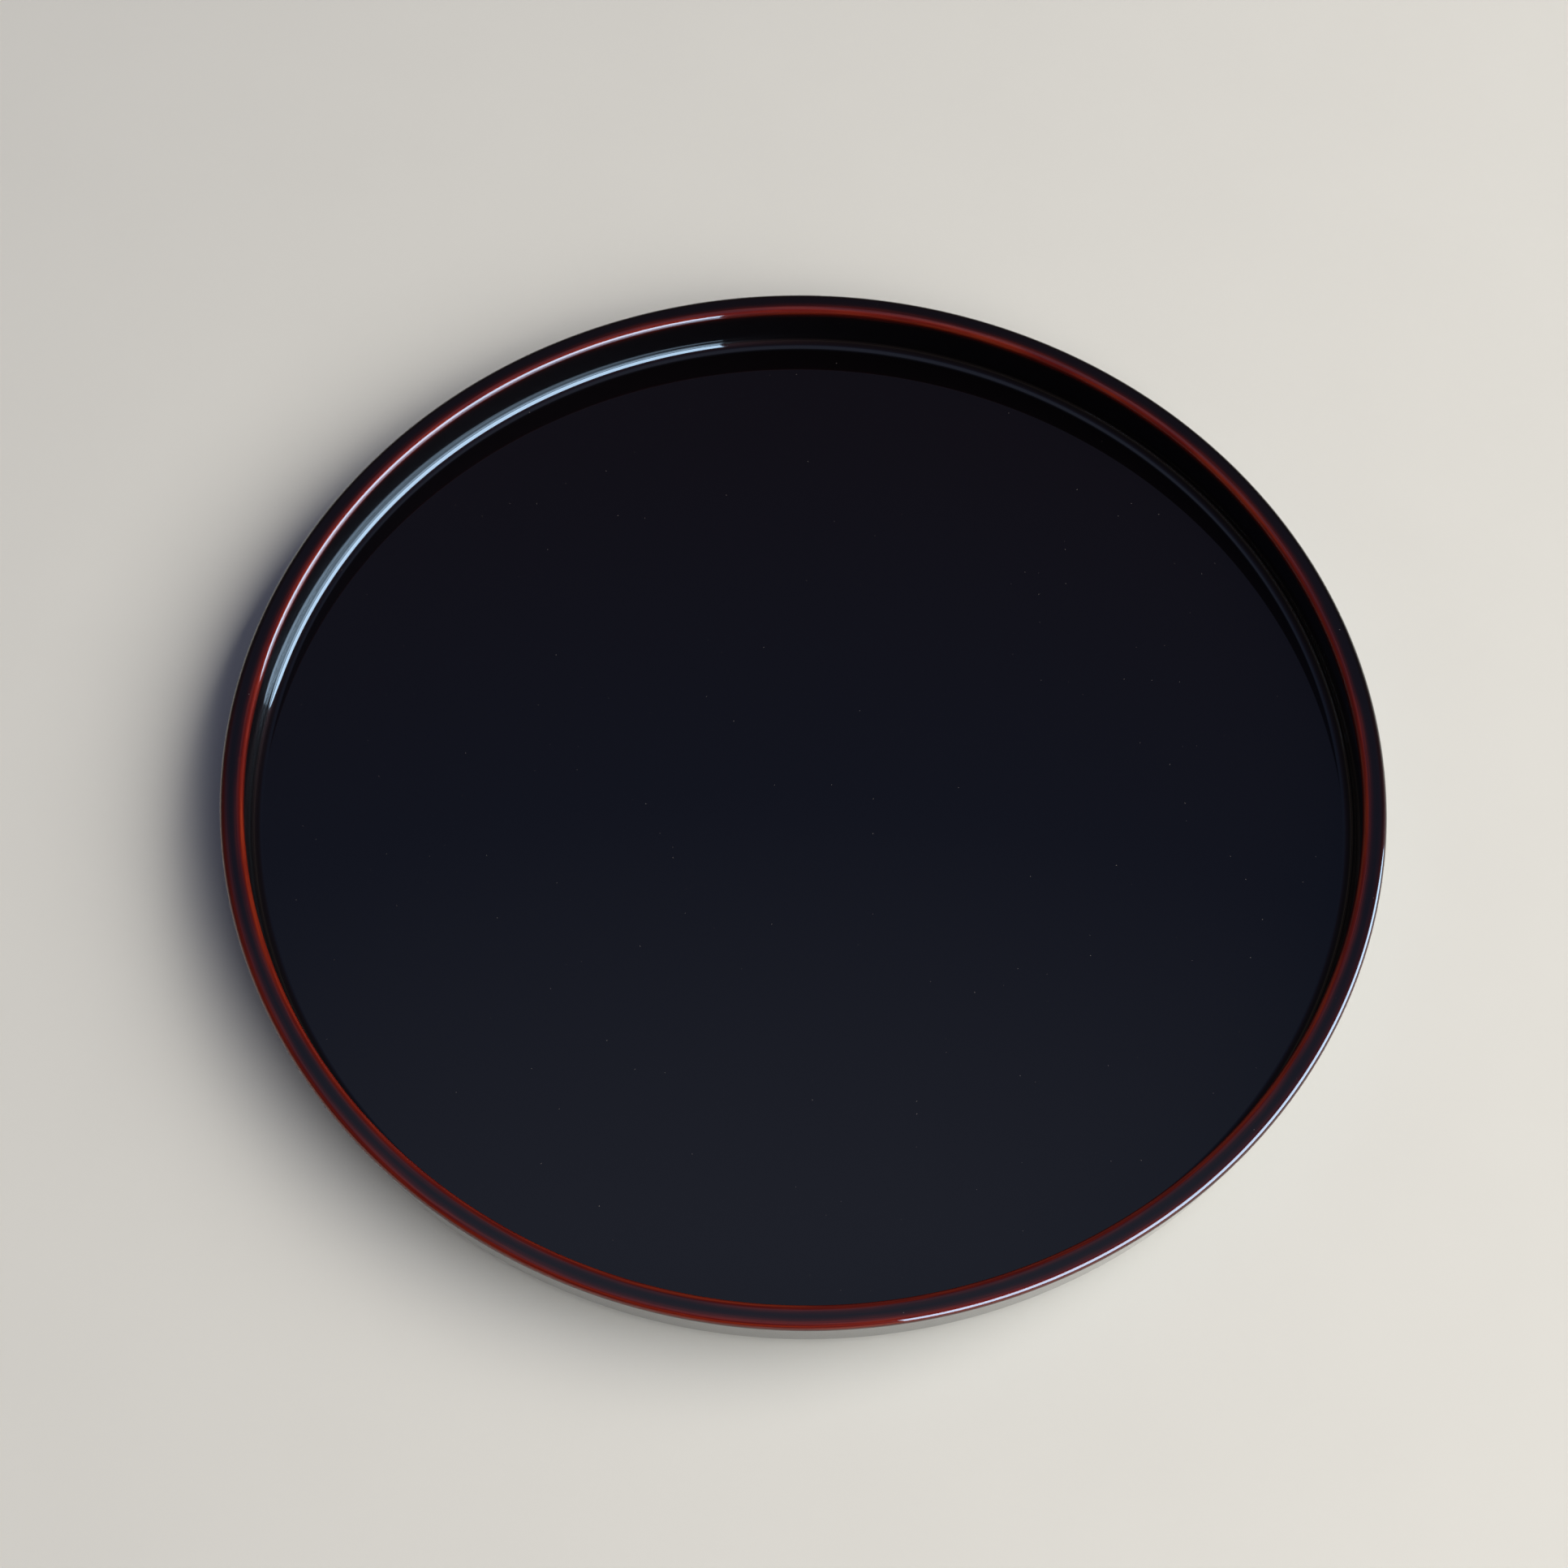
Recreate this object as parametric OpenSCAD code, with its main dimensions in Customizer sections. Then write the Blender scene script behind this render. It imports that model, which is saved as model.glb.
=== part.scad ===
// Round lacquered serving tray: a turned wooden core of edge-glued planks and
// a two-course segmented ring, hemp cloth over the joints, and coats of ground,
// red lacquer and translucent brown lacquer. Millimetres, +Z up, and the origin
// is the centre of the circle that the tray stands on.

/* [Overall] */
// Outside diameter at the widest point, just under the rim
tray_d = 270; // [230:1:340]
// Height from the table to the rim's flat top
tray_h = 19.5; // [15:0.5:30]

/* [Rim and wall] */
// Width of the rim, from the well's wall to the widest point
rim_w = 5.6; // [4.2:0.1:8]
// Roundness of the rim's two edges
rim_edge_r = 1.5; // [1.2:0.05:1.9]
// Lean of the outside wall, in degrees from upright
outer_lean = 9.5; // [4:0.5:12]
// Lean of the well's wall, in degrees from upright
inner_lean = 0; // [0:0.5:6]

/* [Cove, heel and foot] */
// Radius of the cove where the well's wall meets its floor
cove_r = 2.6; // [2.5:0.1:4.5]
// Radius of the heel where the outside wall turns under
heel_r = 9; // [7:0.5:11]
// Slope at which the heel reaches the table, in degrees
heel_toe = 19.5; // [12:0.5:30]
// Width of the flat band that the tray stands on
foot_w = 3; // [2.4:0.1:5]
// Height of the underside above the table, inside that band
foot_relief = 0.8; // [0.5:0.1:1.2]

/* [Wooden core] */
// Thickness of the floor panel
panel_t = 3.4; // [2.6:0.1:4.5]
// Number of planks in the floor panel
plank_count = 4; // [3:1:6]
// Width of the rebate by which the panel sits in the base ring
rebate_w = 4; // [3:0.5:6]
// Number of curved blocks in each course of the ring
block_count = 8; // [6:1:12]
// Width of the loose tongue between two planks
tongue_w = 6; // [4:0.5:8]
// Thickness of the loose tongue
tongue_t = 1; // [0.8:0.1:1.3]
// Distance that each tongue stops short of the panel's edge
tongue_stop = 5; // [3:0.5:12]
// Room for glue between two pieces of wood
glue_gap = 0.05; // [0.02:0.01:0.1]

/* [Cloth and coats] */
// Number of strips that each band of cloth is laid in, end to end
strip_count = 4; // [3:1:8]
// Thickness of the hemp cloth
cloth_t = 0.3; // [0.2:0.05:0.35]
// Distance that the cloth runs past the joint it covers
cloth_lap = 6; // [4:0.5:10]
// Distance that the rim's cloth comes down the wall
rim_cloth_drop = 3.2; // [2:0.1:4]
// Thickness of the ground coat over the cloth
ground_t = 0.3; // [0.2:0.05:0.4]
// Thickness of the red lacquer
red_t = 0.2; // [0.15:0.05:0.25]
// Thickness of the translucent brown lacquer
top_t = 0.2; // [0.15:0.05:0.25]

/* [Hidden] */
$fn = 96;
eps = 1;

// Depths below the finished surface at which each layer starts
red_at = top_t;
ground_at = red_at + red_t;
cloth_at = ground_at + ground_t;
wood_at = cloth_at + cloth_t;

// Levels
panel_bottom_z = foot_relief + wood_at;
panel_top_z = panel_bottom_z + panel_t;
rebate_z = panel_bottom_z + panel_t / 2;
floor_z = panel_top_z + wood_at;

// Outward normals of the two walls, as radius and height
outer_n = [cos(outer_lean), -sin(outer_lean)];
inner_n = [-cos(inner_lean), sin(inner_lean)];

// Centres of the two rim edges, of the heel and of the cove
edge_z = tray_h - rim_edge_r;
outer_edge_c = [tray_d / 2 - rim_edge_r, edge_z];
inner_edge_c = [tray_d / 2 - rim_w + rim_edge_r, edge_z];
heel_z = heel_r * cos(heel_toe);
heel_drop = outer_edge_c[1] + rim_edge_r * outer_n[1] - heel_z - heel_r * outer_n[1];
heel_edge_r = outer_edge_c[0] + rim_edge_r * outer_n[0] - heel_drop * tan(outer_lean);
heel_c = [heel_edge_r - heel_r * outer_n[0], heel_z];
cove_z = floor_z + cove_r;
wall_r = inner_edge_c[0] + rim_edge_r * inner_n[0];
wall_z = edge_z + rim_edge_r * inner_n[1];
cove_c = [wall_r - (cove_r - (cove_z - wall_z) * inner_n[1]) / cos(inner_lean), cove_z];

// The flat band that the tray stands on
toe_r = heel_c[0] + heel_r * sin(heel_toe);
foot_r = toe_r - foot_w;

// A line through the middle of the wood, where the inside and outside coats part
cove_mid = [cove_c[0] + (cove_r + wood_at) * 0.95, cove_c[1] - (cove_r + wood_at) * 0.95];
wall_mid = [(cove_c[0] + cove_r + heel_c[0] + heel_r) / 2, cove_z];
rim_mid = [tray_d / 2 - rim_w / 2, edge_z];

// The panel, its planks and its tongues
panel_r = cove_c[0];
panel_low_r = panel_r - rebate_w;
plank_w = 2 * panel_r / plank_count;
tongue_z = rebate_z;

// The ring's blocks: the two courses meet where the cove becomes the wall
course_z = cove_z;
block_angle = 360 / block_count;
strip_angle = 360 / strip_count;
gap_angle = glue_gap / (tray_d / 2) * 180 / PI;

PLANKS = [for (i = [1 : plank_count]) str("floor_plank_", i)];
TONGUES = [for (i = [1 : plank_count - 1]) str("floor_tongue_", i)];
BASE_BLOCKS = [for (i = [1 : block_count]) str("base_block_", i)];
WALL_BLOCKS = [for (i = [1 : block_count]) str("wall_block_", i)];
WELL_STRIPS = [for (i = [1 : strip_count]) str("well_cloth_", i)];
HEEL_STRIPS = [for (i = [1 : strip_count]) str("heel_cloth_", i)];
RIM_STRIPS = [for (i = [1 : strip_count]) str("rim_cloth_", i)];
COATS = [
    "ground_inside", "ground_outside", "ground_underside",
    "red_inside", "red_outside", "red_underside",
    "lacquer_inside", "lacquer_outside", "lacquer_underside"
];

// ---------------------------------------------------------------- section

// The tray's half section without its well, at a depth below the finished surface
module outer_section(depth) {
    edge_r = rim_edge_r - depth;
    turn_r = heel_r - depth;
    polygon([
        [0, depth],
        [heel_c[0], depth],
        heel_c,
        heel_c + turn_r * outer_n,
        outer_edge_c + edge_r * outer_n,
        outer_edge_c,
        [outer_edge_c[0], tray_h - depth],
        [0, tray_h - depth]
    ]);
    translate(outer_edge_c) circle(edge_r);
    intersection() {
        translate(heel_c) circle(turn_r);
        translate([0, depth]) square([tray_d, tray_h / 2]);
    }
}

// The well, grown by the same depth
module well_section(depth) {
    hollow_r = cove_r + depth;
    polygon([
        [-eps, floor_z - depth],
        [cove_c[0], floor_z - depth],
        cove_c,
        cove_c - hollow_r * inner_n,
        inner_edge_c + (rim_edge_r - depth) * inner_n,
        inner_edge_c,
        [inner_edge_c[0], tray_h + eps],
        [-eps, tray_h + eps]
    ]);
    intersection() {
        translate(cove_c) circle(hollow_r);
        translate([cove_c[0] - eps, 0]) square([tray_d, cove_c[1]]);
    }
}

// The tray's whole half section at a depth below its finished surface
module tray_section(depth) {
    difference() {
        union() {
            difference() {
                outer_section(depth);
                well_section(depth);
            }
            translate(inner_edge_c) circle(rim_edge_r - depth);
        }
        translate([-eps, -eps]) square([foot_r + depth + eps, foot_relief + depth + eps]);
    }
}

// A layer that lies between two depths
module layer_section(from, to) {
    difference() {
        tray_section(from);
        tray_section(to);
    }
}

// ---------------------------------------------------------------- zones

// What the inside coats cover: the well, its wall and the rim's top
module inside_zone() {
    polygon([
        [0, rebate_z],
        [toe_r, rebate_z],
        cove_mid,
        wall_mid,
        rim_mid,
        [tray_d, edge_z],
        [tray_d, 2 * tray_h],
        [0, 2 * tray_h]
    ]);
}

// What the outside coats cover: the leaning wall and the heel
module outside_zone() {
    polygon([
        [toe_r, rebate_z],
        cove_mid,
        wall_mid,
        rim_mid,
        [tray_d, edge_z],
        [tray_d, -tray_h],
        [toe_r, -tray_h]
    ]);
}

// What the underside's coats cover: the underside and the band it stands on
module underside_zone() {
    translate([0, -tray_h]) square([toe_r, tray_h + rebate_z]);
}

// The corner of the well, over the joints of the panel and of the two courses
module well_cloth_zone() {
    polygon([
        [cove_c[0] - cloth_lap, rebate_z],
        [toe_r, rebate_z],
        cove_mid,
        wall_mid,
        [wall_mid[0], course_z + cloth_lap / 2],
        [cove_c[0] - cloth_lap, course_z + cloth_lap / 2]
    ]);
}

// The heel, over the joint of the two courses and that of the panel below
module heel_cloth_zone() {
    polygon([
        [panel_low_r - cloth_lap, -tray_h],
        [panel_low_r - cloth_lap, rebate_z],
        [toe_r, rebate_z],
        cove_mid,
        wall_mid,
        [wall_mid[0], course_z + cloth_lap / 2],
        [tray_d, course_z + cloth_lap / 2],
        [tray_d, -tray_h]
    ]);
}

// The rim's top and a little of the wall on both sides
module rim_cloth_zone() {
    translate([0, tray_h - rim_cloth_drop]) square([tray_d, tray_h]);
}

// ---------------------------------------------------------------- wood

// The floor panel: a disc whose lower edge is rebated to sit in the base ring
module panel_blank() {
    translate([0, 0, rebate_z])
        cylinder(r = panel_r - glue_gap / 2, h = panel_top_z - rebate_z);
    translate([0, 0, panel_bottom_z])
        cylinder(r = panel_low_r - glue_gap / 2, h = rebate_z - panel_bottom_z);
}

function joint_x(i) = i * plank_w - panel_r;
function tongue_half(i) =
    sqrt(pow(panel_low_r, 2) - pow(abs(joint_x(i)) + tongue_w / 2, 2)) - tongue_stop;

// A tongue between planks i and i + 1, grown all round to make its groove
module tongue_bar(i, grow) {
    translate([
        joint_x(i) - tongue_w / 2 - grow,
        -tongue_half(i) - grow,
        tongue_z - tongue_t / 2 - grow
    ])
        cube([
            tongue_w + 2 * grow,
            2 * (tongue_half(i) + grow),
            tongue_t + 2 * grow
        ]);
}

module floor_plank(i) {
    color("burlywood")
        difference() {
            intersection() {
                panel_blank();
                translate([joint_x(i - 1) + glue_gap / 2, -tray_d, -tray_h])
                    cube([plank_w - glue_gap, 2 * tray_d, 3 * tray_h]);
            }
            if (i > 1) tongue_bar(i - 1, glue_gap / 2);
            if (i < plank_count) tongue_bar(i, glue_gap / 2);
        }
}

module floor_tongue(i) {
    color("peru") tongue_bar(i, 0);
}

// One piece's share of a ring whose half section is given
module ring_piece(turn, share) {
    rotate([0, 0, turn + gap_angle / 2])
        rotate_extrude(angle = share - gap_angle) children();
}

// Lower course: it holds the rebate, the cove and the heel
module base_block(i) {
    color("tan")
        ring_piece((i - 1) * block_angle, block_angle)
            difference() {
                tray_section(wood_at);
                translate([0, course_z]) square([tray_d, tray_h]);
                square([panel_low_r, tray_h]);
                translate([0, rebate_z]) square([panel_r, tray_h]);
            }
}

// Upper course: the plain wall, laid with its joints between those below
module wall_block(i) {
    color("wheat")
        ring_piece((i - 0.5) * block_angle, block_angle)
            intersection() {
                tray_section(wood_at);
                translate([0, course_z]) square([tray_d, tray_h]);
            }
}

// ---------------------------------------------------------------- cloth and coats

// One strip of a band of cloth, butted against the next
module cloth_strip(turn) {
    color("darkkhaki")
        ring_piece(turn, strip_angle)
            intersection() {
                layer_section(cloth_at, wood_at);
                children();
            }
}

// The ground coat fills up to the cloth's own height and covers it
module ground_coat() {
    color("dimgray")
        rotate_extrude()
            intersection() {
                difference() {
                    layer_section(ground_at, wood_at);
                    intersection() {
                        layer_section(cloth_at, wood_at);
                        union() {
                            well_cloth_zone();
                            heel_cloth_zone();
                            rim_cloth_zone();
                        }
                    }
                }
                children();
            }
}

module red_coat() {
    color("firebrick")
        rotate_extrude()
            intersection() {
                layer_section(red_at, ground_at);
                children();
            }
}

module top_coat() {
    color([0.09, 0.05, 0.05])
        rotate_extrude()
            intersection() {
                layer_section(0, red_at);
                children();
            }
}

// The three bands are turned so that no two of them have their ends together
module well_cloth(i) { cloth_strip((i - 1) * strip_angle) well_cloth_zone(); }
module heel_cloth(i) { cloth_strip((i - 2 / 3) * strip_angle) heel_cloth_zone(); }
module rim_cloth(i) { cloth_strip((i - 1 / 3) * strip_angle) rim_cloth_zone(); }
module ground_inside() { ground_coat() inside_zone(); }
module ground_outside() { ground_coat() outside_zone(); }
module ground_underside() { ground_coat() underside_zone(); }
module red_inside() { red_coat() inside_zone(); }
module red_outside() { red_coat() outside_zone(); }
module red_underside() { red_coat() underside_zone(); }
module lacquer_inside() { top_coat() inside_zone(); }
module lacquer_outside() { top_coat() outside_zone(); }
module lacquer_underside() { top_coat() underside_zone(); }

// ---------------------------------------------------------------- nodes

for (i = [1 : plank_count])
    floor_plank(i);
for (i = [1 : plank_count - 1])
    floor_tongue(i);
for (i = [1 : block_count])
    base_block(i);
for (i = [1 : block_count])
    wall_block(i);
for (i = [1 : strip_count])
    well_cloth(i);
for (i = [1 : strip_count])
    heel_cloth(i);
for (i = [1 : strip_count])
    rim_cloth(i);
ground_inside();
ground_outside();
ground_underside();
red_inside();
red_outside();
red_underside();
lacquer_inside();
lacquer_outside();
lacquer_underside();
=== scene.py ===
"""A round serving tray in translucent brown lacquer over red.

The wooden core and its cloth come from the fixed frame and are given their
finishes here. The ground, red and brown coats are turned as thin shells, and
the tray stands on a plain pale floor in soft light.
"""

import math

import bmesh
import bpy
from bpy.props import (
    FloatProperty,
    FloatVectorProperty,
    IntProperty,
    PointerProperty,
)
from mathutils import Euler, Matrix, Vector


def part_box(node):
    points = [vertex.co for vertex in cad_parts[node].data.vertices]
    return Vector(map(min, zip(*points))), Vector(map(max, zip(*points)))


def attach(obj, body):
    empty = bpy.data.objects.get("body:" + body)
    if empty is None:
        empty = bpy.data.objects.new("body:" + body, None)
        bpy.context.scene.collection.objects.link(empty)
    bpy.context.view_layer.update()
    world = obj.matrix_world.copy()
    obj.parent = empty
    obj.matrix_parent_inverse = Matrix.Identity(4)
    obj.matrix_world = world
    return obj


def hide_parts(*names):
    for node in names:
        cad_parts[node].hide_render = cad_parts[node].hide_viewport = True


bl_info = {
    "name": "Lacquered serving tray",
    "version": (1, 0, 0),
    "blender": (4, 5, 0),
    "location": "3D View > Sidebar > Tray",
    "description": "Turns the coats of a round lacquered tray and finishes its core",
    "category": "Add Mesh",
}

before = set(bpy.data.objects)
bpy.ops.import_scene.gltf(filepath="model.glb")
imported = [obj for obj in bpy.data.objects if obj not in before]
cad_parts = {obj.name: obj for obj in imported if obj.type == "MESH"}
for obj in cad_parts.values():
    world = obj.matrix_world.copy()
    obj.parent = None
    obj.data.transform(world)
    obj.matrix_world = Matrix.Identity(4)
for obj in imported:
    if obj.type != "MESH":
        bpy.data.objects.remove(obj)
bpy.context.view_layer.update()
MM = 0.001

COAT_LOW, COAT_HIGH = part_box("lacquer_inside")

# Turning: how close a straight run's vertices sit to its ends, the radii of two
# rings of vertices in the flats, the foot's corner, and the weld and smoothing limits
EDGE_HOLD = 0.06 * MM
FLAT_RINGS = (0.04, 0.09)
FOOT_EASE = 0.15 * MM
WELD = 0.002 * MM
SMOOTH_BELOW = 35
# Radius at which distances round the tray are measured
RING_RADIUS = 0.13

# The red along an edge: a core, and a wider and far weaker skirt round it
SKIRT_SPREAD = 2.6
SKIRT_STRENGTH = 0.012
# Dust: cells to a metre, a speck's greatest size in cells, how few cells hold one,
# how level the surface is, and the speck's strength and colour
DUST_SCALE = 300.0
DUST_SIZE = 0.035
DUST_RARITY = 0.94
DUST_LEVEL = 0.9
DUST_STRENGTH = 0.3
DUST_COLOUR = (0.3, 0.26, 0.24)
# The spacing of the cloth's threads and of the wood's growth lines
THREAD_PITCH = 1.1 * MM
GROWTH_PITCH = 2.6 * MM

# The floor's side in metres
FLOOR_SIZE = 9
# The long softbox that the gloss mirrors: upright panels side by side, in metres
# and degrees
PANELS = 4
PANEL_PITCH = 1.07
BOX_DISTANCE = 2.0
BOX_AZIMUTH = -28
BOX_LOW = 0.12
BOX_HIGH = 1.75
# The broad softbox that lights the floor and casts the shadow
FILL_SIZE = (3.4, 1.7)
FILL_DISTANCE = 2.0
FILL_AZIMUTH = -18
FILL_ELEVATION = 44
# The light all round, by the sine of its height above the horizon
SKY = (
    (0.0, (0.20, 0.17, 0.15)),
    (0.35, (0.06, 0.055, 0.065)),
    (0.64, (0.06, 0.055, 0.08)),
    (0.80, (0.085, 0.08, 0.125)),
    (0.83, (0.095, 0.09, 0.15)),
    (0.888, (0.107, 0.142, 0.26)),
    (0.94, (0.26, 0.31, 0.46)),
)
# The camera: metres, degrees and millimetres
CAMERA_PLACE = (-0.00455, -0.35408, 0.68499)
CAMERA_TILT = 27.72
CAMERA_TURN = 1.13
CAMERA_LENS = 74.69
CAMERA_SENSOR = 36


# ------------------------------------------------------------------ settings


def length(name, description, millimetres):
    """A setting that holds a length, given in millimetres."""
    return FloatProperty(
        name=name,
        description=description,
        default=millimetres * MM,
        min=0.0,
        precision=5,
        unit="LENGTH",
    )


def angle(name, description, degrees):
    """A setting that holds an angle, given in degrees."""
    return FloatProperty(
        name=name, description=description, default=math.radians(degrees), subtype="ANGLE"
    )


def colour(name, description, value):
    """A setting that holds a colour."""
    return FloatVectorProperty(
        name=name,
        description=description,
        default=value,
        size=3,
        min=0,
        max=1,
        subtype="COLOR",
    )


class TrayShape(bpy.types.PropertyGroup):
    """Sizes of the tray's section."""

    diameter: length("Diameter", "Across the widest point", 2 * COAT_HIGH.x / MM)
    height: length("Height", "From the floor to the rim's top", COAT_HIGH.z / MM)
    well_floor: length("Well floor", "Level of the well's floor", COAT_LOW.z / MM + 0.2)
    rim_width: length("Rim width", "From the well's wall to the widest point", 5.6)
    rim_edge: length("Rim edge", "Roundness of the rim's two edges", 1.5)
    outer_lean: angle("Outer lean", "Lean of the outside wall from upright", 9.5)
    inner_lean: angle("Inner lean", "Lean of the well's wall from upright", 0)
    cove: length("Cove", "Radius where the well's wall meets its floor", 2.6)
    heel: length("Heel", "Radius where the outside wall turns under", 9)
    heel_toe: angle("Heel toe", "Slope at which the heel reaches the floor", 19.5)
    foot_width: length("Foot width", "Width of the band that the tray stands on", 3)
    foot_relief: length("Foot relief", "Height of the underside inside that band", 0.8)
    coat: length("Coat", "Thickness of each lacquer coat", 0.2)
    ground: length("Ground", "Thickness of the ground coat over the cloth", 0.3)
    cloth: length("Cloth", "Thickness of the hemp cloth", 0.3)
    cloth_lap: length("Cloth lap", "How far the cloth runs past the joint it covers", 6)
    rim_drop: length("Rim cloth", "How far the rim's cloth comes down the wall", 3.2)
    rebate: length("Rebate", "Width of the rebate that the floor panel sits in", 4)
    turns: IntProperty(
        name="Turns", description="Steps round the tray", default=384, min=48, max=720
    )
    hidden_turns: IntProperty(
        name="Hidden turns",
        description="Steps round the hidden coats",
        default=192,
        min=48,
        max=720,
    )


class TrayFinish(bpy.types.PropertyGroup):
    """Colours and gloss of the coats and of the core."""

    brown: colour("Brown", "Brown lacquer where it is thick", (0.0006, 0.0005, 0.0005))
    red: colour("Red", "Red that shows where the brown is thin", (0.112, 0.0050, 0.0010))
    orange: colour(
        "Orange", "Streaks in the red where it is wiped thinnest", (0.168, 0.0140, 0.0018)
    )
    red_width: length("Red width", "Half width of the red along an edge", 1.05)
    inner_red: angle("Inner red", "Where the inner edge's red is centred", 135)
    outer_red: angle("Outer red", "Where the outer edge's red is centred", 45)
    under_gloss: FloatProperty(
        name="Under gloss",
        description="Gloss of the red below the brown",
        default=0.06,
        min=0,
        max=1,
    )
    ground_grey: colour("Ground", "Ground coat", (0.09, 0.08, 0.075))
    under_red: colour("Under red", "Red coat below the brown", (0.42, 0.03, 0.015))
    core_wood: colour("Core wood", "Planks of the floor", (0.62, 0.43, 0.25))
    tongue_wood: colour("Tongue wood", "Loose tongues", (0.5, 0.32, 0.17))
    ring_wood: colour("Ring wood", "Blocks of the ring", (0.58, 0.4, 0.23))
    hemp: colour("Hemp", "Cloth over the joints", (0.45, 0.38, 0.25))


class TrayStage(bpy.types.PropertyGroup):
    """The floor, the light and the camera."""

    floor_colour: colour("Floor", "The floor's colour", (0.62, 0.605, 0.555))
    panel_power: FloatProperty(
        name="Panel power", description="Power of each softbox panel", default=104, unit="POWER"
    )
    panel_colour: colour("Panel colour", "The long softbox's colour", (0.52, 0.76, 1.0))
    fill_power: FloatProperty(
        name="Fill power", description="Power of the broad softbox", default=88, unit="POWER"
    )
    fill_colour: colour("Fill colour", "The broad softbox's colour", (1.0, 0.98, 0.94))
    sky_strength: FloatProperty(
        name="Sky strength", description="Strength of the light all round", default=1.0, min=0
    )


# ------------------------------------------------------------------ the section


class Section:
    """The tray's half section as (radius, height) points in metres."""

    def __init__(self, shape):
        s = shape
        self.s = s
        outer = Vector((math.cos(s.outer_lean), -math.sin(s.outer_lean)))
        inner = Vector((-math.cos(s.inner_lean), math.sin(s.inner_lean)))
        rim = s.diameter / 2
        self.edge_z = s.height - s.rim_edge
        self.outer_edge = Vector((rim - s.rim_edge, self.edge_z))
        self.inner_edge = Vector((rim - s.rim_width + s.rim_edge, self.edge_z))
        heel_z = s.heel * math.cos(s.heel_toe)
        drop = self.edge_z + s.rim_edge * outer.y - heel_z - s.heel * outer.y
        heel_r = self.outer_edge.x + s.rim_edge * outer.x - drop * math.tan(s.outer_lean)
        self.heel_c = Vector((heel_r - s.heel * outer.x, heel_z))
        cove_z = s.well_floor + s.cove
        wall = self.inner_edge + s.rim_edge * inner
        self.cove_c = Vector(
            (wall.x - (s.cove - (cove_z - wall.y) * inner.y) / math.cos(s.inner_lean), cove_z)
        )
        self.toe_r = self.heel_c.x + s.heel * math.sin(s.heel_toe)
        self.foot_r = self.toe_r - s.foot_width

    @staticmethod
    def arc(centre, radius, start, end, parts):
        """Points along an arc, its angles in radians."""
        points = []
        for i in range(parts + 1):
            turn = start + (end - start) * i / parts
            points.append(centre + radius * Vector((math.cos(turn), math.sin(turn))))
        return points

    @staticmethod
    def straight(start, end, levels=()):
        """A straight run's inner points, held close to both ends, with some at levels."""
        along = (end - start).normalized() * EDGE_HOLD
        stops = [start.lerp(end, (z - start.y) / (end.y - start.y)) for z in levels]
        return [start + along, *(stops or [start.lerp(end, 0.5)]), end - along]

    def cloth_levels(self):
        """Where the corner's and heel's cloth ends, and where the rim's starts."""
        return self.cove_c.y + self.s.cloth_lap / 2, self.s.height - self.s.rim_drop

    def on_cloth(self, point, part):
        """Whether a point of the ground coat's inner face lies on the cloth."""
        corner, rim = self.cloth_levels()
        if part == "inside":
            low = point.x >= self.cove_c.x - self.s.cloth_lap and point.y <= corner
        else:
            heel = self.cove_c.x - self.s.rebate - self.s.cloth_lap
            low = point.x >= heel and point.y <= corner
        return low or point.y >= rim

    def on_core(self, part, fine=1):
        """The ground coat's inner face: down to the wood, or up on the cloth."""
        s = self.s
        shallow = 2 * s.coat + s.ground
        line = getattr(self, part)
        face, state = [], None
        for high, low in zip(line(shallow, fine), line(shallow + s.cloth, fine)):
            covered = self.on_cloth(low, part)
            if state is not None and covered != state:
                face.append(high if state else low)
            face.append(high if covered else low)
            state = covered
        return face

    def inside(self, depth, fine=1):
        """From the axis across the well and over the rim to its outer edge."""
        s = self.s
        floor = s.well_floor - depth
        cove = self.arc(self.cove_c, s.cove + depth, -math.pi / 2, -s.inner_lean, 7 * fine)
        inner = self.arc(
            self.inner_edge, s.rim_edge - depth, math.pi - s.inner_lean, math.pi / 2, 7 * fine
        )
        outer = self.arc(self.outer_edge, s.rim_edge - depth, math.pi / 2, 0, 7 * fine)
        stops = (0, *FLAT_RINGS, self.cove_c.x - s.cloth_lap, self.cove_c.x - EDGE_HOLD)
        flat = [Vector((stop, floor)) for stop in stops]
        return (
            flat
            + cove
            + self.straight(cove[-1], inner[0], self.cloth_levels())
            + inner
            + self.straight(inner[-1], outer[0])
            + outer
        )

    def outside(self, depth, fine=1):
        """From the rim's outer edge down the wall and round the heel to its toe."""
        s = self.s
        edge = self.arc(self.outer_edge, s.rim_edge - depth, 0, -s.outer_lean, 2 * fine)
        toe = -math.acos((self.toe_r - self.heel_c.x) / (s.heel - depth))
        heel = self.arc(self.heel_c, s.heel - depth, -s.outer_lean, toe, 9 * fine)
        levels = reversed(self.cloth_levels())
        return edge + self.straight(edge[-1], heel[0], levels) + heel

    def underside(self, depth, fine=1):
        """From the heel's toe across the foot and the underside to the axis.

        It has no arc to make finer, and takes fine only as the other two do.
        """
        s = self.s
        toe = self.outside(depth)[-1]
        foot, roof = self.foot_r + depth, s.foot_relief + depth
        inner_ring, outer_ring = FLAT_RINGS
        return [
            toe,
            Vector((foot + 2 * FOOT_EASE, depth)),
            Vector((foot + FOOT_EASE, depth)),
            Vector((foot + 0.3 * FOOT_EASE, depth + 0.3 * FOOT_EASE)),
            Vector((foot, depth + FOOT_EASE)),
            Vector((foot, roof)),
            Vector((foot - FOOT_EASE, roof)),
            Vector((self.cove_c.x - s.rebate - s.cloth_lap, roof)),
            Vector((outer_ring, roof)),
            Vector((inner_ring, roof)),
            Vector((0, roof)),
        ]


# ------------------------------------------------------------------ modelling


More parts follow.
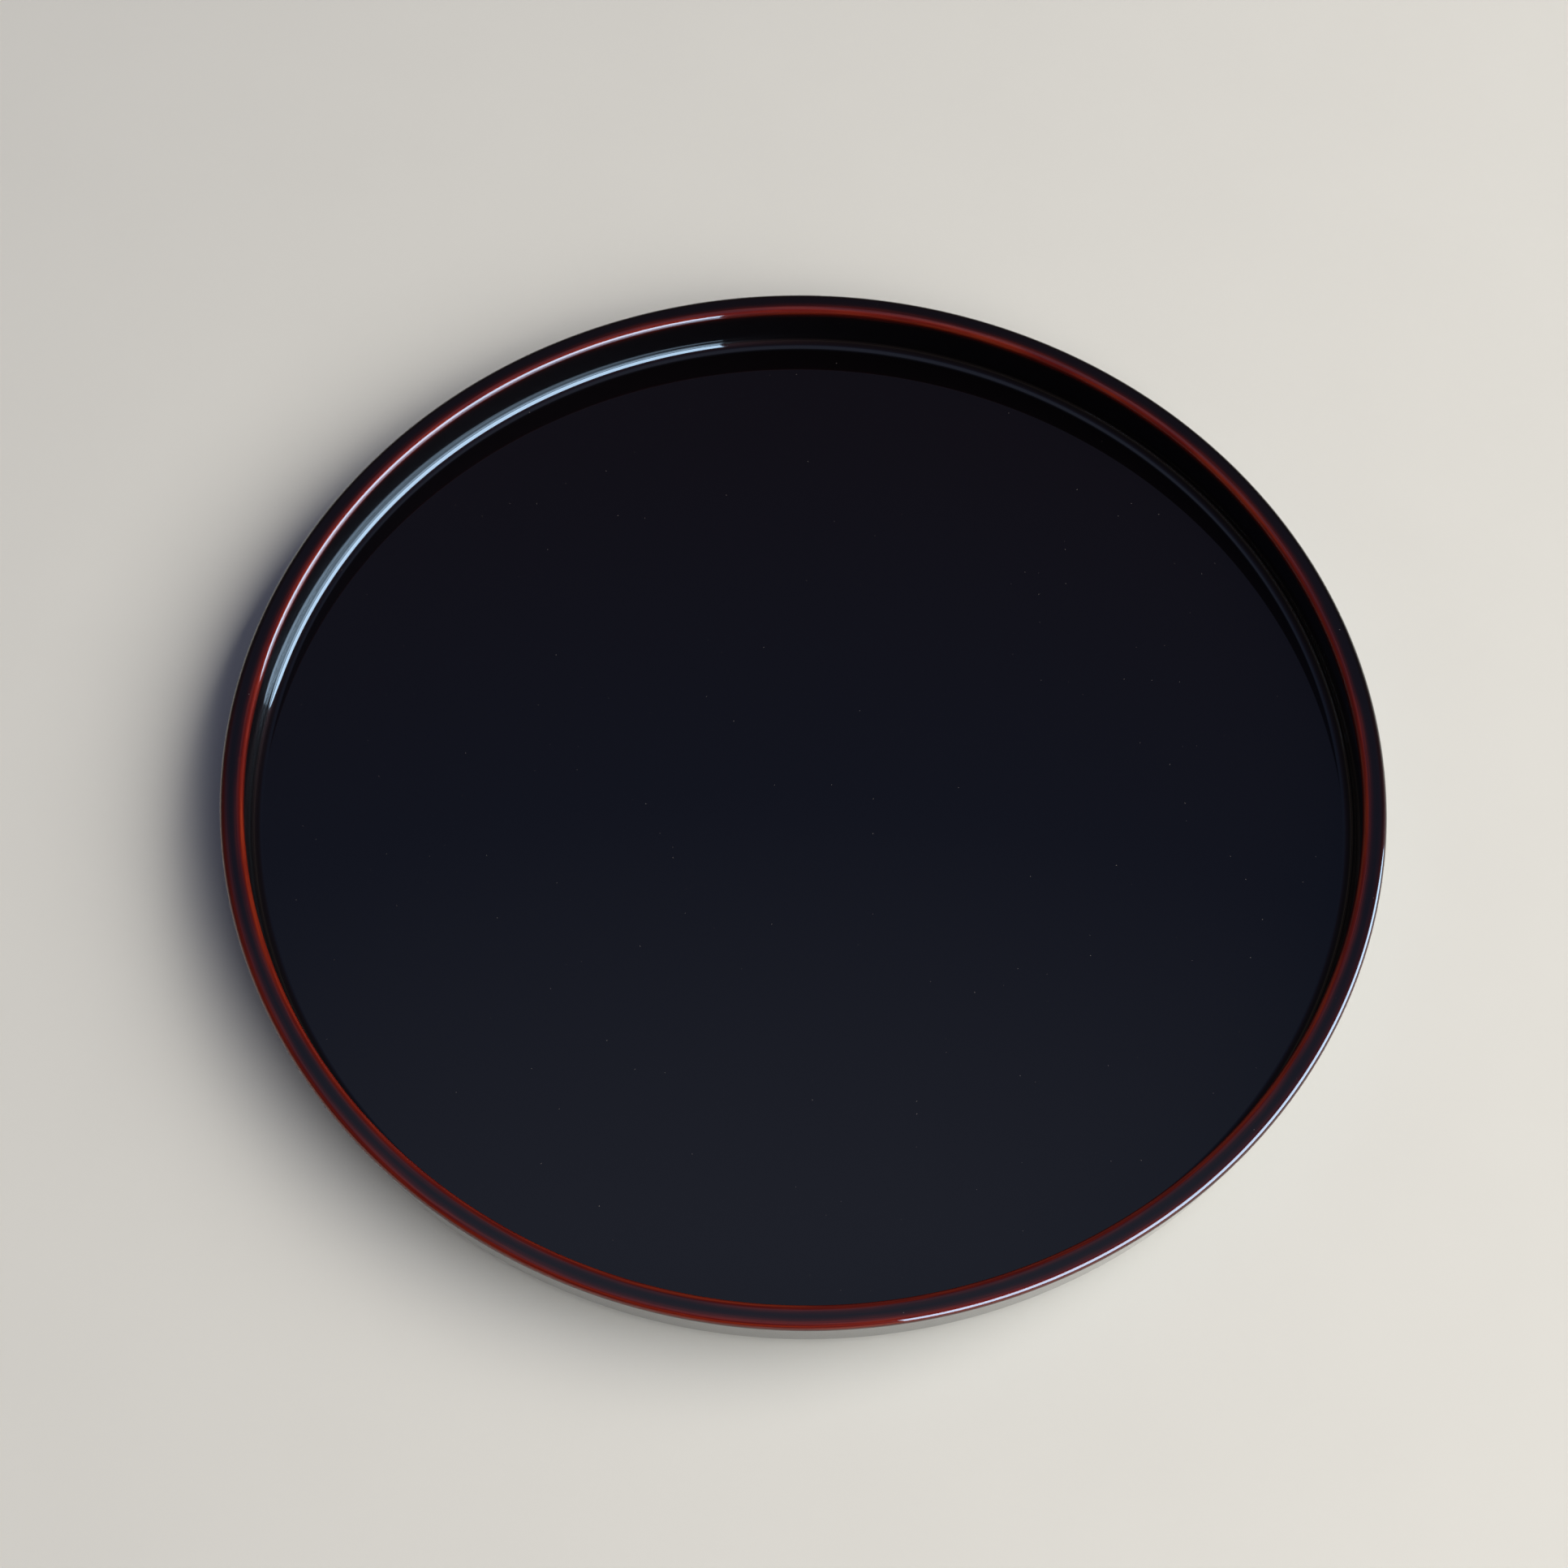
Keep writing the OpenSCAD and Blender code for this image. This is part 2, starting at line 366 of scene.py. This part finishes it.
def nothing_selected():
    """Back to object mode with nothing selected or active."""
    if bpy.context.object and bpy.context.object.mode != "OBJECT":
        bpy.ops.object.mode_set(mode="OBJECT")
    bpy.ops.object.select_all(action="DESELECT")
    bpy.context.view_layer.objects.active = None


def turned(name, outline, steps):
    """A closed shell turned round the axis from a closed or axis-to-axis outline."""
    nothing_selected()
    bpy.ops.mesh.primitive_plane_add(size=MM, location=(0, 0, 0))
    piece = bpy.context.object
    piece.name = piece.data.name = name
    bpy.ops.object.mode_set(mode="EDIT")
    bpy.ops.mesh.merge(type="CENTER")
    start = outline[0]
    bpy.ops.transform.translate(value=(start.x, 0, start.y))
    for here, there in zip(outline, outline[1:]):
        step = there - here
        bpy.ops.mesh.extrude_vertices_move(
            TRANSFORM_OT_translate={"value": (step.x, 0, step.y)}
        )
    bpy.ops.mesh.select_all(action="SELECT")
    bpy.ops.mesh.spin(steps=steps, angle=2 * math.pi, center=(0, 0, 0), axis=(0, 0, 1))
    bpy.ops.mesh.select_all(action="SELECT")
    bpy.ops.mesh.remove_doubles(threshold=WELD)
    bpy.ops.mesh.normals_make_consistent(inside=False)
    bpy.ops.object.mode_set(mode="OBJECT")
    bpy.ops.object.shade_smooth_by_angle(angle=math.radians(SMOOTH_BELOW))
    return piece


def check_closed(piece):
    """Raises an error if the piece has an open edge or is inside out."""
    shell = bmesh.new()
    shell.from_mesh(piece.data)
    bad = sum(1 for edge in shell.edges if len(edge.link_faces) != 2)
    volume = shell.calc_volume(signed=True)
    shell.free()
    if bad or volume <= 0:
        raise RuntimeError(f"{piece.name}: {bad} open edges, volume {volume:.3e}")


def turn_coats(context, coat, node, depth, material, turns):
    """Turns one coat's three pieces: inside, outside and underside."""
    shape = context.scene.tray_shape
    section = Section(shape)
    for part in ("inside", "outside", "underside"):
        line = getattr(section, part)
        face = line(depth, 2)
        if coat == "ground":
            back = section.on_core(part)
        else:
            back = line(depth + shape.coat)
        if part == "underside":
            # from the axis out to the toe and back, so that no edge lies on the axis
            outline = list(reversed(face)) + back
        else:
            outline = face + list(reversed(back))
        if outline[0].x > 0:
            outline.append(outline[0].copy())
        piece = turned(f"{coat}_coat_{part}", outline, turns)
        check_closed(piece)
        piece.data.materials.append(material)
        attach(piece, "root")
        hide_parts(f"{node}_{part}")


# ------------------------------------------------------------------ materials


class Recipe:
    """A material whose nodes are added one step at a time."""

    def __init__(self, name):
        self.material = bpy.data.materials.new(name)
        self.material.use_nodes = True
        self.tree = self.material.node_tree
        self.tree.nodes.clear()
        out = self.add("ShaderNodeOutputMaterial")
        self.shader = self.add("ShaderNodeBsdfPrincipled")
        self.tree.links.new(self.shader.outputs[0], out.inputs[0])
        self.place = self.add("ShaderNodeTexCoord").outputs["Object"]
        parts = self.add("ShaderNodeSeparateXYZ", Vector=self.place).outputs
        self.x, self.y, self.z = parts

    def add(self, kind, settings=None, **sockets):
        """Adds a node, sets it up and joins or sets its sockets by name."""
        node = self.tree.nodes.new(kind)
        for key, value in (settings or {}).items():
            setattr(node, key, value)
        for key, value in sockets.items():
            self.join(value, node.inputs[key.replace("_", " ")])
        return node

    def join(self, value, socket):
        """Links a socket, or sets it if the value isn't one."""
        if isinstance(value, bpy.types.NodeSocket):
            self.tree.links.new(value, socket)
        else:
            socket.default_value = value

    def math(self, operation, *values, clamp=False):
        """A Math node's result."""
        node = self.add("ShaderNodeMath", {"operation": operation, "use_clamp": clamp})
        for value, socket in zip(values, node.inputs):
            self.join(value, socket)
        return node.outputs[0]

    def vector(self, operation, *values):
        """A Vector Math node's result, a number for distance and length."""
        node = self.add("ShaderNodeVectorMath", {"operation": operation})
        for value, socket in zip(values, node.inputs):
            self.join(value, socket)
        return node.outputs["Value" if operation in ("DISTANCE", "LENGTH") else "Vector"]

    def combine(self, x, y, z=0.0):
        """Three numbers as a vector."""
        return self.add("ShaderNodeCombineXYZ", X=x, Y=y, Z=z).outputs[0]

    def radius(self):
        """Distance from the tray's axis."""
        return self.vector("LENGTH", self.combine(self.x, self.y))

    def smooth(self, value, low, high, to_low=0.0, to_high=1.0):
        """A smooth step from one value to another."""
        node = self.add(
            "ShaderNodeMapRange",
            {"interpolation_type": "SMOOTHSTEP"},
            Value=value,
            From_Min=low,
            From_Max=high,
            To_Min=to_low,
            To_Max=to_high,
        )
        return node.outputs[0]

    def noise(self, scale, detail, roughness, at=None):
        """Noise between 0 and 1."""
        node = self.add(
            "ShaderNodeTexNoise",
            Vector=at or self.place,
            Scale=scale,
            Detail=detail,
            Roughness=roughness,
        )
        return node.outputs[0]

    def choose(self, factor, a, b):
        """Two numbers mixed."""
        node = self.add("ShaderNodeMix", {"data_type": "FLOAT"})
        for value, index in ((factor, 0), (a, 2), (b, 3)):
            self.join(value, node.inputs[index])
        return node.outputs[0]

    def scaled(self, value, factor):
        """A number times another."""
        return self.math("MULTIPLY", value, factor)

    def mix(self, factor, a, b):
        """Two colours mixed."""
        node = self.add("ShaderNodeMix", {"data_type": "RGBA"})
        for value, index in ((factor, 0), (a, 6), (b, 7)):
            if isinstance(value, (tuple, list)) and len(value) == 3:
                value = (*value, 1.0)
            self.join(value, node.inputs[index])
        return node.outputs[2]

    def bump(self, height, distance):
        """A bump in metres, joined to the shader's normal."""
        node = self.add("ShaderNodeBump", Strength=1.0, Distance=distance, Height=height)
        self.join(node.outputs[0], self.shader.inputs["Normal"])

    def finish(self, **sockets):
        """Sets the shader's own sockets and gives the material."""
        for key, value in sockets.items():
            if isinstance(value, tuple) and len(value) == 3:
                value = (*value, 1.0)
            self.join(value, self.shader.inputs[key.replace("_", " ")])
        return self.material


def rgb(value):
    """A colour setting as a plain tuple."""
    return tuple(value)


def brown_lacquer(context):
    """Near-black gloss that turns red where it is thin along the rim's edges."""
    shape, finish = context.scene.tray_shape, context.scene.tray_finish
    section = Section(shape)
    make = Recipe("brown_over_red_lacquer")
    radius = make.radius()
    place = make.combine(radius, make.z)
    turn = arc_length(make)
    # the wiped edges: how thin the brown is, by distance from each arris
    wander = make.noise(38, 3, 0.55)
    width = make.smooth(wander, 0.3, 0.7, finish.red_width * 0.88, finish.red_width * 1.12)
    edges = []
    for centre, lean in (
        (section.inner_edge, finish.inner_red),
        (section.outer_edge, finish.outer_red),
    ):
        ray = Vector((math.cos(lean), math.sin(lean))) * shape.rim_edge
        away = make.vector("DISTANCE", place, (centre.x + ray.x, centre.y + ray.y, 0))
        core = make.math("POWER", make.math("DIVIDE", away, width), 2)
        skirt = make.math(
            "POWER", make.math("DIVIDE", away, SKIRT_SPREAD * finish.red_width), 2
        )
        core = make.math("EXPONENT", make.scaled(core, -1))
        skirt = make.math("EXPONENT", make.scaled(skirt, -1))
        edges.append(make.math("MULTIPLY_ADD", skirt, SKIRT_STRENGTH, core))
    # painted light on the outer edge: its red fades out towards the back as painted shade, and
    # is weaker towards the right, where it stands in for the edge's white highlight
    painted_back_shade = make.smooth(make.y, -0.075, 0.035, 1.0, 0.02)
    painted_right_highlight = make.smooth(make.x, 0.03, 0.11, 1.0, 0.3)
    edges[1] = make.scaled(edges[1], make.scaled(painted_back_shade, painted_right_highlight))
    thin = make.math("MAXIMUM", *edges)
    # fine streaks of wiping that run round the rim
    across = make.scaled(make.math("SUBTRACT", radius, make.z), 2600)
    streak = make.noise(1, 3, 0.6, at=make.combine(make.scaled(turn, 30), across))
    thin = make.math("MULTIPLY", thin, make.smooth(streak, 0.25, 0.6, 0.7, 1.0), clamp=True)
    red = make.mix(make.smooth(streak, 0.42, 0.66), rgb(finish.red), rgb(finish.orange))
    colour_now = make.mix(thin, rgb(finish.brown), red)
    # a little dust on what faces up
    cells = make.add(
        "ShaderNodeTexVoronoi",
        {"voronoi_dimensions": "2D", "feature": "F1"},
        Vector=make.place,
        Scale=DUST_SCALE,
        Randomness=1.0,
    )
    chance = make.add("ShaderNodeSeparateColor", Color=cells.outputs["Color"]).outputs
    normal = make.add("ShaderNodeNewGeometry").outputs["Normal"]
    up = make.add("ShaderNodeSeparateXYZ", Vector=normal).outputs[2]
    speck = make.math("LESS_THAN", cells.outputs["Distance"], make.scaled(chance[1], DUST_SIZE))
    speck = make.scaled(speck, make.math("GREATER_THAN", chance[0], DUST_RARITY))
    speck = make.scaled(speck, make.math("GREATER_THAN", up, DUST_LEVEL))
    colour_now = make.mix(make.scaled(speck, DUST_STRENGTH), colour_now, DUST_COLOUR)
    make.bump(make.noise(26, 2, 0.45), 0.02 * MM)
    return make.finish(
        Base_Color=colour_now,
        Roughness=0.36,
        IOR=1.5,
        Specular_IOR_Level=finish.under_gloss,
        Specular_Tint=(1.0, 0.32, 0.34),
        Coat_Weight=1.0,
        Coat_Roughness=0.035,
        Coat_IOR=1.52,
    )


def red_lacquer(context):
    """Even satin red with faint brush marks that follow the turning."""
    finish = context.scene.tray_finish
    make = Recipe("red_lacquer")
    cloud = make.noise(24, 3, 0.5)
    red = Vector(finish.under_red)
    colour_now = make.mix(make.smooth(cloud, 0.3, 0.7), tuple(red * 0.85), tuple(red * 1.12))
    marks = make.combine(make.scaled(make.radius(), 1600), 0, make.scaled(make.z, 1600))
    brushed = make.noise(1, 2, 0.5, at=marks)
    make.bump(brushed, 0.004 * MM)
    rough = make.math("MULTIPLY_ADD", brushed, 0.1, 0.24)
    return make.finish(Base_Color=colour_now, Roughness=rough, IOR=1.52)


def ground_coat(context):
    """Matte ground of clay and lacquer, rubbed flat, with fine grit."""
    finish = context.scene.tray_finish
    make = Recipe("ground_coat")
    grey = Vector(finish.ground_grey)
    cloud = make.noise(45, 4, 0.6)
    grit = make.noise(2600, 2, 0.6)
    colour_now = make.mix(cloud, tuple(grey * 0.75), tuple(grey * 1.25))
    colour_now = make.mix(make.smooth(grit, 0.62, 0.75, 0, 0.5), colour_now, tuple(grey * 2.1))
    make.bump(grit, 0.02 * MM)
    return make.finish(Base_Color=colour_now, Roughness=make.smooth(cloud, 0.3, 0.7, 0.82, 0.95))


def wood(name, base, along, across):
    """Straight-grained softwood: growth lines, fibres and pores along the grain."""
    make = Recipe(name)
    tone = Vector(base)
    warp = make.math("MULTIPLY_ADD", make.noise(7, 2, 0.5), 5 * MM, across(make))
    lines = make.math("SINE", make.scaled(warp, 2 * math.pi / GROWTH_PITCH))
    lines = make.smooth(lines, -0.3, 1.0)
    stretch = make.combine(
        make.scaled(across(make), 2400),
        make.scaled(along(make), 110),
        make.scaled(make.z, 2400),
    )
    fibre = make.noise(1, 3, 0.6, at=stretch)
    late = (tone.x * 0.78, tone.y * 0.68, tone.z * 0.58)
    colour_now = make.mix(lines, tuple(tone * 1.08), late)
    colour_now = make.mix(make.smooth(fibre, 0.35, 0.7, 0, 0.35), colour_now, tuple(tone * 0.62))
    height = make.math("MULTIPLY_ADD", fibre, 0.6, lines)
    make.bump(height, 0.03 * MM)
    rough = make.smooth(fibre, 0.3, 0.7, 0.55, 0.75)
    return make.finish(Base_Color=colour_now, Roughness=rough)


def arc_length(make):
    """Distance round the tray at its ring."""
    return make.scaled(make.math("ARCTAN2", make.y, make.x), RING_RADIUS)


def hemp_cloth(context):
    """Coarse plain weave, threads round the tray and across the band."""
    finish = context.scene.tray_finish
    make = Recipe("hemp_cloth")
    hemp = Vector(finish.hemp)
    waves = 2 * math.pi / THREAD_PITCH
    round_it = make.math("SINE", make.scaled(arc_length(make), waves))
    over_it = make.math(
        "SINE", make.scaled(make.math("ADD", make.radius(), make.z), waves)
    )
    warp = make.math("ABSOLUTE", round_it)
    weft = make.math("ABSOLUTE", over_it)
    flip = make.math("GREATER_THAN", make.scaled(round_it, over_it), 0.0)
    weave = make.choose(flip, warp, weft)
    slub = make.noise(900, 3, 0.6)
    height = make.math("MULTIPLY_ADD", slub, 0.4, weave)
    # darker in the gaps between threads, where the weave is low: painted shade
    colour_now = make.mix(make.smooth(weave, 0.05, 0.8), tuple(hemp * 0.5), tuple(hemp * 1.1))
    colour_now = make.mix(make.smooth(slub, 0.4, 0.7, 0, 0.35), colour_now, tuple(hemp * 0.7))
    make.bump(height, 0.12 * MM)
    return make.finish(Base_Color=colour_now, Roughness=0.9)


def pale_floor(context):
    """The plain pale floor, matte with a very faint mottle."""
    stage = context.scene.tray_stage
    make = Recipe("pale_floor")
    tone = Vector(stage.floor_colour)
    colour_now = make.mix(make.noise(30, 3, 0.5), tuple(tone * 0.985), tuple(tone * 1.015))
    return make.finish(Base_Color=colour_now, Roughness=0.6, IOR=1.35, Specular_IOR_Level=0.0)


# ------------------------------------------------------------------ operators


class TRAY_OT_ground_coats(bpy.types.Operator):
    """Turns the ground coat of the inside, the outside and the underside"""

    bl_idname = "tray.ground_coats"
    bl_label = "Ground coats"

    def execute(self, context):
        shape = context.scene.tray_shape
        turn_coats(
            context, "ground", "ground",
            2 * shape.coat, ground_coat(context), shape.hidden_turns,
        )
        return {"FINISHED"}


class TRAY_OT_red_coats(bpy.types.Operator):
    """Turns the red coat of the inside, the outside and the underside"""

    bl_idname = "tray.red_coats"
    bl_label = "Red coats"

    def execute(self, context):
        shape = context.scene.tray_shape
        turn_coats(
            context, "red", "red",
            shape.coat, red_lacquer(context), shape.hidden_turns,
        )
        return {"FINISHED"}


class TRAY_OT_brown_coats(bpy.types.Operator):
    """Turns the brown coat of the inside, the outside and the underside"""

    bl_idname = "tray.brown_coats"
    bl_label = "Brown coats"

    def execute(self, context):
        shape = context.scene.tray_shape
        turn_coats(
            context, "brown", "lacquer",
            0.0, brown_lacquer(context), shape.turns,
        )
        return {"FINISHED"}


class TRAY_OT_stage(bpy.types.Operator):
    """Lays the pale floor, hangs the soft lights and sets the camera"""

    bl_idname = "tray.stage"
    bl_label = "Stage"

    def execute(self, context):
        stage = context.scene.tray_stage
        nothing_selected()
        bpy.ops.mesh.primitive_plane_add(size=FLOOR_SIZE, location=(0, 0, 0))
        floor = context.object
        floor.name = "floor"
        floor.data.materials.append(pale_floor(context))
        self.long_softbox(context, stage)
        self.broad_softbox(context, stage)
        self.sky(context, stage.sky_strength)
        self.camera(context)
        return {"FINISHED"}

    def lamp(self, name, place, away, size, power, tint):
        """One rectangular soft light that faces back along a direction."""
        bpy.ops.object.light_add(type="AREA", location=place)
        lamp = bpy.context.object
        lamp.name = lamp.data.name = name
        lamp.rotation_euler = away.to_track_quat("Z", "Y").to_euler()
        lamp.data.shape = "RECTANGLE"
        lamp.data.size, lamp.data.size_y = size
        lamp.data.energy = power
        lamp.data.color = tint
        lamp.visible_camera = False
        return lamp

    def long_softbox(self, context, stage):
        """Upright panels at the tray's right, which only gloss mirrors."""
        turn = math.radians(BOX_AZIMUTH)
        away = Vector((math.cos(turn), math.sin(turn), 0))
        along = Vector((-away.y, away.x, 0))
        size = (PANEL_PITCH, BOX_HIGH - BOX_LOW)
        for number in range(PANELS):
            place = away * BOX_DISTANCE + along * (number - (PANELS - 1) / 2) * PANEL_PITCH
            place.z = (BOX_LOW + BOX_HIGH) / 2
            name = f"softbox_{number + 1}"
            panel = self.lamp(name, place, away, size, stage.panel_power, stage.panel_colour)
            panel.visible_diffuse = False

    def broad_softbox(self, context, stage):
        """A broad softbox high on the right, which only lights matte surfaces."""
        turn, rise = math.radians(FILL_AZIMUTH), math.radians(FILL_ELEVATION)
        away = Vector(
            (math.cos(rise) * math.cos(turn), math.cos(rise) * math.sin(turn), math.sin(rise))
        )
        fill = self.lamp(
            "broad_softbox",
            away * FILL_DISTANCE,
            away,
            FILL_SIZE,
            stage.fill_power,
            stage.fill_colour,
        )
        fill.visible_glossy = False

    def sky(self, context, strength):
        """Soft light all round: dim and warm low down, dim blue higher, lilac above."""
        world = bpy.data.worlds.new("soft_room")
        context.scene.world = world
        world.use_nodes = True
        nodes, links = world.node_tree.nodes, world.node_tree.links
        nodes.clear()
        coords = nodes.new("ShaderNodeTexCoord")
        split = nodes.new("ShaderNodeSeparateXYZ")
        ramp = nodes.new("ShaderNodeValToRGB")
        background = nodes.new("ShaderNodeBackground")
        out = nodes.new("ShaderNodeOutputWorld")
        links.new(coords.outputs["Generated"], split.inputs[0])
        links.new(split.outputs[2], ramp.inputs[0])
        links.new(ramp.outputs[0], background.inputs[0])
        links.new(background.outputs[0], out.inputs[0])
        background.inputs[1].default_value = strength
        elements = ramp.color_ramp.elements
        elements.remove(elements[1])
        for index, (at, tone) in enumerate(SKY):
            stop = elements[0] if index == 0 else elements.new(at)
            stop.position = at
            stop.color = (*tone, 1.0)

    def camera(self, context):
        """The camera, high in front of the tray."""
        bpy.ops.object.camera_add(location=CAMERA_PLACE)
        eye = context.object
        eye.name = eye.data.name = "camera"
        eye.rotation_mode = "ZYX"
        eye.rotation_euler = Euler(
            (math.radians(CAMERA_TILT), 0, math.radians(CAMERA_TURN)), "ZYX"
        )
        eye.data.sensor_width = CAMERA_SENSOR
        eye.data.lens = CAMERA_LENS
        eye.data.clip_start = 0.01
        context.scene.camera = eye
        context.scene.view_settings.view_transform = "Standard"


class TRAY_OT_core_finishes(bpy.types.Operator):
    """Gives the wooden core and the cloth their finishes"""

    bl_idname = "tray.core_finishes"
    bl_label = "Core finishes"

    def execute(self, context):
        finish = context.scene.tray_finish
        plank = wood("plank_wood", rgb(finish.core_wood), lambda m: m.y, lambda m: m.x)
        tongue = wood("tongue_wood", rgb(finish.tongue_wood), lambda m: m.y, lambda m: m.x)
        block = wood("block_wood", rgb(finish.ring_wood), arc_length, lambda m: m.radius())
        finishes = {
            "floor_plank": plank,
            "floor_tongue": tongue,
            "base_block": block,
            "wall_block": block,
            "well_cloth": hemp_cloth(context),
        }
        finishes["heel_cloth"] = finishes["rim_cloth"] = finishes["well_cloth"]
        for name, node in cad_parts.items():
            for start, material in finishes.items():
                if name.startswith(start):
                    node.data.materials.clear()
                    node.data.materials.append(material)
        return {"FINISHED"}


class TRAY_PT_panel(bpy.types.Panel):
    """Steps and settings of the tray"""

    bl_idname = "TRAY_PT_panel"
    bl_label = "Serving tray"
    bl_space_type = "VIEW_3D"
    bl_region_type = "UI"
    bl_category = "Tray"

    def draw(self, context):
        for step in STEPS:
            self.layout.operator(step.bl_idname)
        for settings in ("tray_shape", "tray_finish", "tray_stage"):
            group = getattr(context.scene, settings)
            box = self.layout.box()
            for name in group.__annotations__:
                box.prop(group, name)


GROUPS = (TrayShape, TrayFinish, TrayStage)
STEPS = (
    TRAY_OT_core_finishes,
    TRAY_OT_ground_coats,
    TRAY_OT_red_coats,
    TRAY_OT_brown_coats,
    TRAY_OT_stage,
)
CLASSES = GROUPS + STEPS + (TRAY_PT_panel,)


def register():
    """Adds the classes and the scene's settings."""
    for cls in CLASSES:
        bpy.utils.register_class(cls)
    bpy.types.Scene.tray_shape = PointerProperty(type=TrayShape)
    bpy.types.Scene.tray_finish = PointerProperty(type=TrayFinish)
    bpy.types.Scene.tray_stage = PointerProperty(type=TrayStage)


def unregister():
    """Takes them away again."""
    for name in ("tray_shape", "tray_finish", "tray_stage"):
        delattr(bpy.types.Scene, name)
    for cls in reversed(CLASSES):
        bpy.utils.unregister_class(cls)


def main():
    """Runs every step in order."""
    register()
    bpy.ops.tray.core_finishes()
    bpy.ops.tray.ground_coats()
    bpy.ops.tray.red_coats()
    bpy.ops.tray.brown_coats()
    bpy.ops.tray.stage()


if __name__ == "__main__":
    main()
